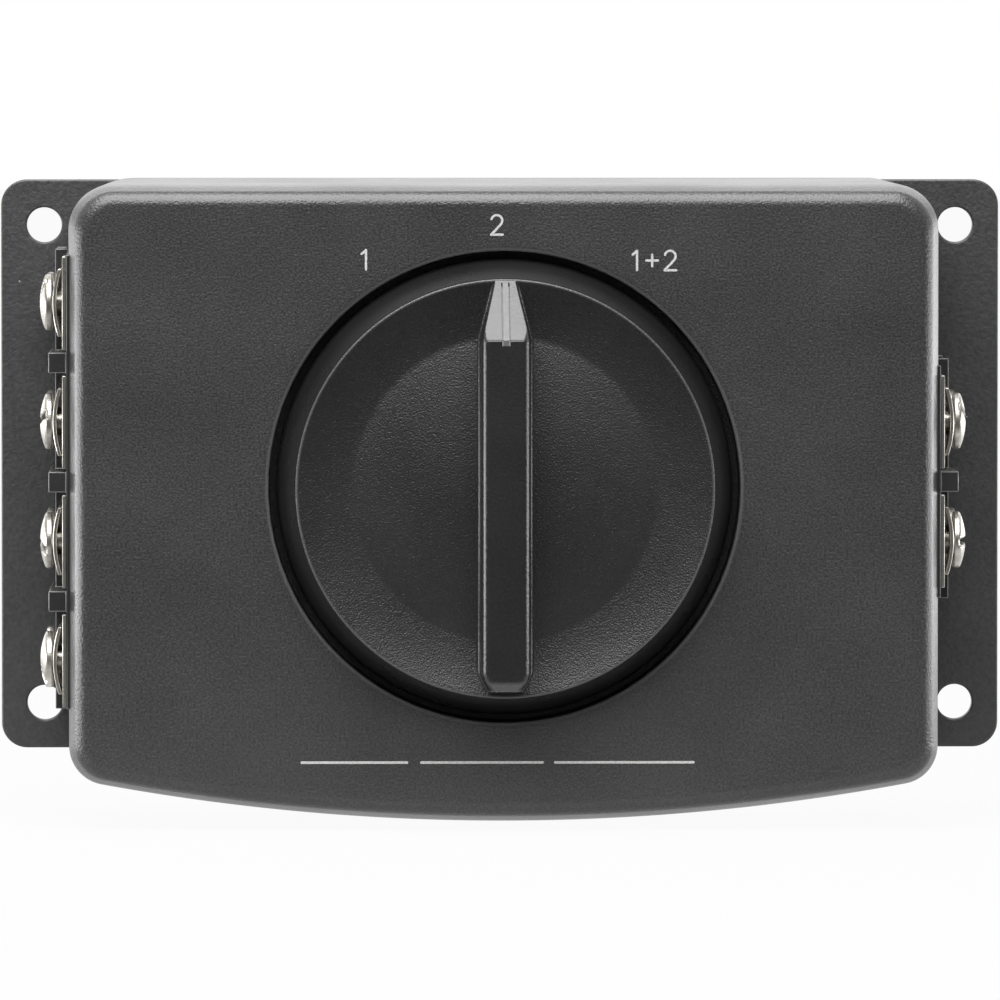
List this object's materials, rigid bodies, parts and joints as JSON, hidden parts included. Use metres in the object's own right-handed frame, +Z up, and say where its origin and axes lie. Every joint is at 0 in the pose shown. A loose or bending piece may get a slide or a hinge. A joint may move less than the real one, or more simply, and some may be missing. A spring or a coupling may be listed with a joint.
{
  "type": "speaker selector switch",
  "caption": "Flanged surface-mount selector switch: drafted box with bowed lower edge, large round knob with grip bar, and screw terminals in barrier blocks on both sides.",
  "frame": {"origin": "centre of the four mounting holes on the rear face of the back plate", "axes": "+X to the right seen from the front, +Z up, the front faces -Y"},
  "size_m": [0.12, 0.0448, 0.0763],
  "materials": {
    "dark_plate": "satin moulded black-grey",
    "dark_moulding": "fine-grained moulded",
    "knob_moulding": "satin moulded",
    "pale_inlay": "satin",
    "block_moulding": "moulded phenolic",
    "terminal_metal": "nickel plated",
    "nickel": "nickel plated",
    "steel": "zinc plated",
    "spring_steel": "blued spring steel",
    "phenolic": "laminated phenolic paper",
    "contact_brass": "silver-plated brass",
    "wire_cover": "vinyl insulation"
  },
  "bodies": {
    "housing": {"back_plate": "dark_plate", "cover": "dark_moulding", "cover_screws": "steel", "bushing": "nickel", "lock_washer": "steel", "bushing_nut": "nickel", "switch_front_plate": "steel", "frame_studs": "steel", "front_spacers": "nickel", "rear_spacers": "nickel", "stud_nuts": "nickel", "front_wafer": "phenolic", "rear_wafer": "phenolic", "front_contacts": "contact_brass", "rear_contacts": "contact_brass", "left_terminal_block": "block_moulding", "right_terminal_block": "block_moulding", "left_terminal_plates": "terminal_metal", "right_terminal_plates": "terminal_metal", "left_wires": "wire_cover", "right_wires": "wire_cover"},
    "knob": {"knob": "knob_moulding", "pointer_inlay": "pale_inlay", "knob_spring": "spring_steel", "switch_shaft": "nickel", "shaft_clip": "spring_steel", "detent_arm": "spring_steel", "detent_balls": "spring_steel", "front_rotor": "phenolic", "rear_rotor": "phenolic", "front_blade": "contact_brass", "rear_blade": "contact_brass"},
    "left_terminal_front_1": {"left_screw_front_1": "terminal_metal", "left_clamp_front_1": "terminal_metal"},
    "left_terminal_front_2": {"left_screw_front_2": "terminal_metal", "left_clamp_front_2": "terminal_metal"},
    "left_terminal_front_3": {"left_screw_front_3": "terminal_metal", "left_clamp_front_3": "terminal_metal"},
    "left_terminal_front_4": {"left_screw_front_4": "terminal_metal", "left_clamp_front_4": "terminal_metal"},
    "left_terminal_rear_1": {"left_screw_rear_1": "terminal_metal", "left_clamp_rear_1": "terminal_metal"},
    "left_terminal_rear_2": {"left_screw_rear_2": "terminal_metal", "left_clamp_rear_2": "terminal_metal"},
    "left_terminal_rear_3": {"left_screw_rear_3": "terminal_metal", "left_clamp_rear_3": "terminal_metal"},
    "left_terminal_rear_4": {"left_screw_rear_4": "terminal_metal", "left_clamp_rear_4": "terminal_metal"},
    "right_terminal_front_1": {"right_screw_front_1": "terminal_metal", "right_clamp_front_1": "terminal_metal"},
    "right_terminal_front_2": {"right_screw_front_2": "terminal_metal", "right_clamp_front_2": "terminal_metal"},
    "right_terminal_rear_1": {"right_screw_rear_1": "terminal_metal", "right_clamp_rear_1": "terminal_metal"},
    "right_terminal_rear_2": {"right_screw_rear_2": "terminal_metal", "right_clamp_rear_2": "terminal_metal"}
  },
  "joints": [
    {"name": "knob_turn", "type": "hinge", "parent": "housing", "child": "knob", "pos_m": [0, 0, -0.0017], "axis": [0, 1, 0], "range_deg": [-30, 30]},
    {"name": "left_screw_front_1_out", "type": "slide", "parent": "housing", "child": "left_terminal_front_1", "axis": [-1, 0, 0], "range_m": [0, 0.0022]},
    {"name": "left_screw_front_2_out", "type": "slide", "parent": "housing", "child": "left_terminal_front_2", "axis": [-1, 0, 0], "range_m": [0, 0.0022]},
    {"name": "left_screw_front_3_out", "type": "slide", "parent": "housing", "child": "left_terminal_front_3", "axis": [-1, 0, 0], "range_m": [0, 0.0022]},
    {"name": "left_screw_front_4_out", "type": "slide", "parent": "housing", "child": "left_terminal_front_4", "axis": [-1, 0, 0], "range_m": [0, 0.0022]},
    {"name": "left_screw_rear_1_out", "type": "slide", "parent": "housing", "child": "left_terminal_rear_1", "axis": [-1, 0, 0], "range_m": [0, 0.0022]},
    {"name": "left_screw_rear_2_out", "type": "slide", "parent": "housing", "child": "left_terminal_rear_2", "axis": [-1, 0, 0], "range_m": [0, 0.0022]},
    {"name": "left_screw_rear_3_out", "type": "slide", "parent": "housing", "child": "left_terminal_rear_3", "axis": [-1, 0, 0], "range_m": [0, 0.0022]},
    {"name": "left_screw_rear_4_out", "type": "slide", "parent": "housing", "child": "left_terminal_rear_4", "axis": [-1, 0, 0], "range_m": [0, 0.0022]},
    {"name": "right_screw_front_1_out", "type": "slide", "parent": "housing", "child": "right_terminal_front_1", "axis": [1, 0, 0], "range_m": [0, 0.0022]},
    {"name": "right_screw_front_2_out", "type": "slide", "parent": "housing", "child": "right_terminal_front_2", "axis": [1, 0, 0], "range_m": [0, 0.0022]},
    {"name": "right_screw_rear_1_out", "type": "slide", "parent": "housing", "child": "right_terminal_rear_1", "axis": [1, 0, 0], "range_m": [0, 0.0022]},
    {"name": "right_screw_rear_2_out", "type": "slide", "parent": "housing", "child": "right_terminal_rear_2", "axis": [1, 0, 0], "range_m": [0, 0.0022]}
  ]
}
